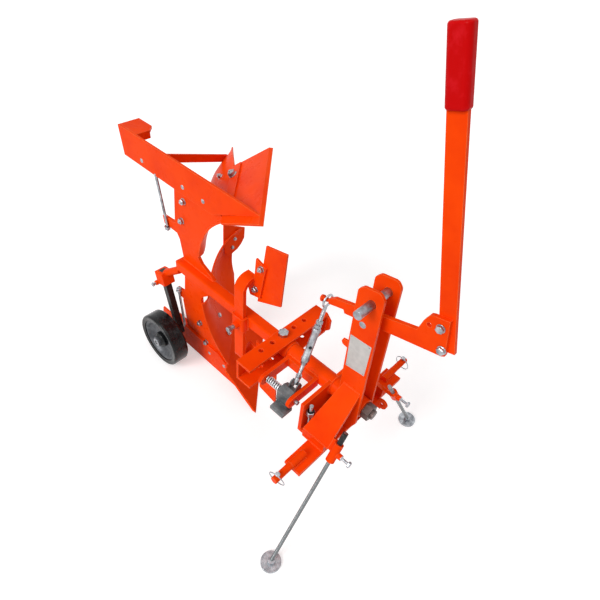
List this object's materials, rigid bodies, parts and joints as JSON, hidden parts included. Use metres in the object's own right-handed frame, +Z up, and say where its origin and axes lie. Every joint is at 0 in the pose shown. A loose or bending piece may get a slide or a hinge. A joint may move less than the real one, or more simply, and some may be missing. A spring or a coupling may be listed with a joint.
{
  "type": "reversible moldboard plough",
  "caption": "Three-point mounted turnover plough for a compact tractor, with two mirrored bodies, skimmers, a depth wheel, parking stands and a long hand lever.",
  "frame": {"origin": "on the floor under the middle of the machine's length and width", "axes": "+X forward towards the tractor, +Y to the machine's left, +Z up"},
  "size_m": [1.3342, 0.818, 1.4834],
  "materials": {
    "orange_paint": "glossy orange enamel over welded steel, light wear at edges",
    "zinc": "bright zinc plating",
    "bare_steel": "bare turned steel",
    "cast_latch": "bare grey cast steel",
    "dark_steel": "oiled brown-grey steel",
    "red_grip": "soft red dipped vinyl",
    "black_rubber": "shiny solid black tread",
    "grey_rim": "dark grey machined face",
    "black_steel": "satin black",
    "black_plastic": "black sleeve"
  },
  "bodies": {
    "frame": {"headstock_back_plate": "orange_paint", "lower_link_bar": "orange_paint", "headstock_gusset_right": "orange_paint", "headstock_gusset_left": "orange_paint", "mast_plate_right": "orange_paint", "mast_plate_left": "orange_paint", "bearing_tube": "orange_paint", "lower_link_pin_right": "orange_paint", "lower_link_pin_left": "orange_paint", "top_link_pin": "bare_steel", "lever_pivot_pin": "bare_steel", "stand_clamp_right": "orange_paint", "stand_clamp_left": "orange_paint", "stop_bolt_right": "zinc", "stop_bolt_left": "zinc", "chain_lug": "orange_paint", "latch_bracket": "orange_paint", "latch_pin": "zinc", "latch_spring": "zinc", "mast_cross_plate": "orange_paint", "stand_sleeve_right": "black_plastic"},
    "latch": {"latch_block": "cast_latch"},
    "lever": {"lever_arm": "orange_paint", "lever_bar": "orange_paint", "lever_grip": "red_grip"},
    "link": {"turnbuckle": "zinc"},
    "stand_right": {"stand_rod_right": "zinc", "stand_foot_right": "zinc"},
    "stand_left": {"stand_rod_left": "zinc", "stand_foot_left": "zinc"},
    "skimmers": {"skimmer_shank": "orange_paint", "skimmer_blade_upper": "orange_paint", "skimmer_blade_lower": "orange_paint"},
    "wheel_leg": {"wheel_stem": "black_steel"},
    "wheel": {"wheel_rim": "grey_rim", "wheel_tyre": "black_rubber"},
    "turnover": {"body_leg_lower": "orange_paint", "body_leg_upper": "orange_paint", "brace_lower": "orange_paint", "brace_upper": "orange_paint", "channel_bolt": "zinc", "cross_channel": "orange_paint", "frog_lower": "orange_paint", "frog_upper": "orange_paint", "heel_lower": "orange_paint", "heel_upper": "orange_paint", "landside_lower": "orange_paint", "landside_upper": "orange_paint", "main_beam": "orange_paint", "moldboard_lower": "orange_paint", "moldboard_upper": "orange_paint", "shaft_nut": "dark_steel", "share_lower": "orange_paint", "share_upper": "orange_paint", "skimmer_clamp": "orange_paint", "tie_rod_lower": "zinc", "tie_rod_upper": "zinc", "turnover_shaft": "orange_paint", "wheel_arm": "orange_paint"}
  },
  "joints": [
    {"name": "turnover_hinge", "type": "hinge", "parent": "frame", "child": "turnover", "pos_m": [0.16292, 0, 0.445], "axis": [1, 0, 0], "range_deg": [0, 180]},
    {"name": "lever_hinge", "type": "hinge", "parent": "frame", "child": "lever", "pos_m": [0.44292, 0, 0.79], "axis": [0, 1, 0], "range_deg": [0, 12]},
    {"name": "link_hinge", "type": "hinge", "parent": "lever", "child": "link", "pos_m": [0.29816, 0, 0.75045], "axis": [0, 1, 0], "range_deg": [-12, 0]},
    {"name": "latch_hinge", "type": "hinge", "parent": "frame", "child": "latch", "pos_m": [0.30092, -0.13, 0.44], "axis": [1, 0, 0], "range_deg": [0, 40]},
    {"name": "stand_slide_right", "type": "slide", "parent": "frame", "child": "stand_right", "axis": [0, 0.5193, 0.8546], "range_m": [-0.05, 0.14]},
    {"name": "stand_slide_left", "type": "slide", "parent": "frame", "child": "stand_left", "axis": [0, -0.5193, 0.8546], "range_m": [-0.05, 0.14]},
    {"name": "skimmer_slide", "type": "slide", "parent": "turnover", "child": "skimmers", "axis": [0, 0, 1], "range_m": [-0.02, 0.02]},
    {"name": "wheel_leg_slide", "type": "slide", "parent": "turnover", "child": "wheel_leg", "axis": [-0.2419, 0, 0.9703], "range_m": [-0.05, 0.1]},
    {"name": "wheel_spin", "type": "hinge", "parent": "wheel_leg", "child": "wheel", "pos_m": [-0.38708, -0.115, 0.115], "axis": [0, 1, 0], "continuous": true}
  ],
  "couplings": [
    {"joint": "link_hinge", "follows": "lever_hinge", "ratio": -1},
    {"joint": "latch_hinge", "follows": "lever_hinge", "ratio": 3.3}
  ]
}
